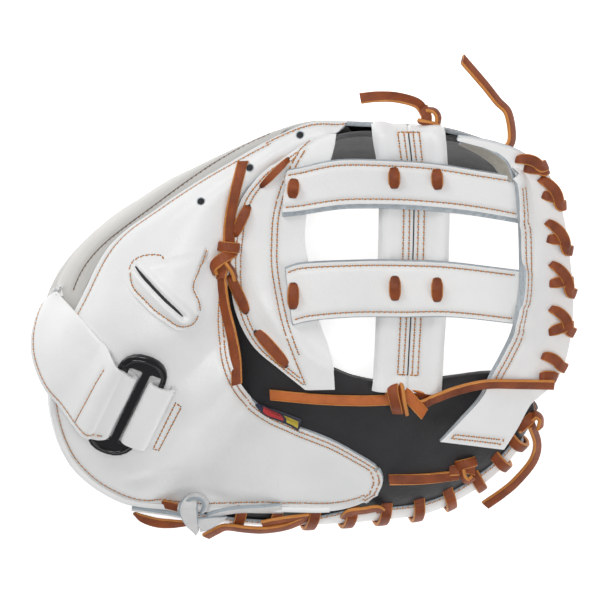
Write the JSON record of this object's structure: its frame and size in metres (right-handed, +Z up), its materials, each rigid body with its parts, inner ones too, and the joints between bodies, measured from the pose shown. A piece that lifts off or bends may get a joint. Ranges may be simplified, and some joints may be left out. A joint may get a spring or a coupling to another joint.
{
  "type": "softball catcher mitt",
  "caption": "Round catcher mitt for the left hand: padded black pocket with a laced rim, white leather back, laced bar web, and a wrist strap with a slide buckle.",
  "frame": {"origin": "on the surface that the mitt lies on, under the middle of its outline", "axes": "+X from the wrist to the top of the web, +Y from the thumb side to the finger side, +Z up, out of the back of the hand"},
  "size_m": [0.3274, 0.2871, 0.1247],
  "materials": {
    "white_leather": "white full grain leather with pebbled grain, tan stitching and blue-grey cut edges",
    "black_leather": "black oiled leather, slightly glossy on the padded rim",
    "tan_lace": "waxed red-brown lace with orange cut edges",
    "black_plastic": "smooth glossy black moulding",
    "tab_fabric": "woven navy tab with a red and a yellow block"
  },
  "bodies": {
    "root": {"palm_shell": "black_leather", "rim_wall": "white_leather", "back_panel": "white_leather", "finger_side_wall": "white_leather", "web_base": "white_leather", "web_post": "white_leather", "web_bar_upper": "white_leather", "web_bar_lower": "white_leather", "web_top_band": "white_leather", "finger_hood": "white_leather", "wrist_strap": "white_leather", "buckle_keeper": "white_leather", "heel_lace": "white_leather", "rim_lace_thumb": "tan_lace", "rim_lace_finger": "tan_lace", "crescent_lace": "tan_lace", "web_band_lace": "tan_lace", "bar_lace_1": "tan_lace", "bar_lace_2": "tan_lace", "bar_lace_3": "tan_lace", "bar_lace_4": "tan_lace", "bar_lace_5": "tan_lace", "bar_lace_6": "tan_lace", "base_knot": "tan_lace", "post_knot": "tan_lace", "web_knot": "tan_lace", "rim_knot": "tan_lace", "band_knot": "tan_lace", "base_tail_up": "tan_lace", "base_tail_down": "tan_lace", "post_tail_left": "tan_lace", "post_tail_right": "tan_lace", "rim_tail": "tan_lace", "web_tail": "tan_lace", "band_tail": "tan_lace", "rim_end_tail": "tan_lace", "strap_buckle": "black_plastic", "side_tab": "tab_fabric"}
  },
  "joints": []
}
